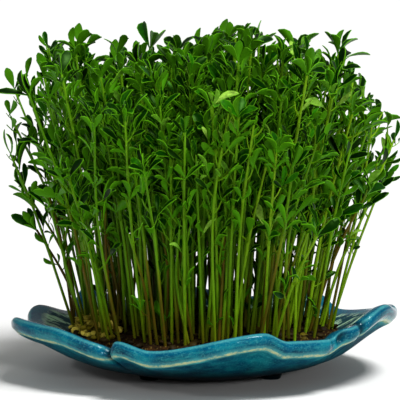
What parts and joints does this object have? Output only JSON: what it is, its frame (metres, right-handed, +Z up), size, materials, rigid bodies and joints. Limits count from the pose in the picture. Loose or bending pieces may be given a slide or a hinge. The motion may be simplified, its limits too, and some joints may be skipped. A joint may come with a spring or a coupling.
{
  "type": "lentil sprout tray",
  "caption": "Lentil sprouts with leafy tops standing in a mat of seeds and roots, in a shallow wavy-rimmed glazed dish on low feet.",
  "frame": {"origin": "under the middle of the whole object, on the surface that its feet stand on", "axes": "+Z up, -Y to the front (the dish's side with the tight fold in its rim), +X to the right as seen from the front"},
  "size_m": [0.25, 0.24, 0.2211],
  "materials": {
    "turquoise_glaze": "glossy mottled turquoise glaze that breaks to cream on the edges",
    "seed_mat": "matt mat of soaked seeds, hulls and roots",
    "sprout_green": "satin fresh leaves and stems"
  },
  "bodies": {
    "root": {"dish": "turquoise_glaze", "seed_bed": "seed_mat", "sprout_clump_01": "sprout_green", "sprout_clump_02": "sprout_green", "sprout_clump_03": "sprout_green", "sprout_clump_04": "sprout_green", "sprout_clump_05": "sprout_green", "sprout_clump_06": "sprout_green", "sprout_clump_07": "sprout_green", "sprout_clump_08": "sprout_green", "sprout_clump_09": "sprout_green", "sprout_clump_10": "sprout_green", "sprout_clump_11": "sprout_green", "sprout_clump_12": "sprout_green", "sprout_clump_13": "sprout_green", "sprout_clump_14": "sprout_green", "sprout_clump_15": "sprout_green", "sprout_clump_16": "sprout_green", "sprout_clump_17": "sprout_green", "sprout_clump_18": "sprout_green", "sprout_clump_19": "sprout_green", "sprout_clump_20": "sprout_green", "sprout_clump_21": "sprout_green", "sprout_clump_22": "sprout_green", "sprout_clump_23": "sprout_green", "sprout_clump_24": "sprout_green", "sprout_clump_25": "sprout_green", "sprout_clump_26": "sprout_green", "sprout_clump_27": "sprout_green", "sprout_clump_28": "sprout_green", "sprout_clump_29": "sprout_green", "sprout_clump_30": "sprout_green", "sprout_clump_31": "sprout_green", "sprout_clump_32": "sprout_green", "sprout_clump_33": "sprout_green", "sprout_clump_34": "sprout_green"}
  },
  "joints": []
}
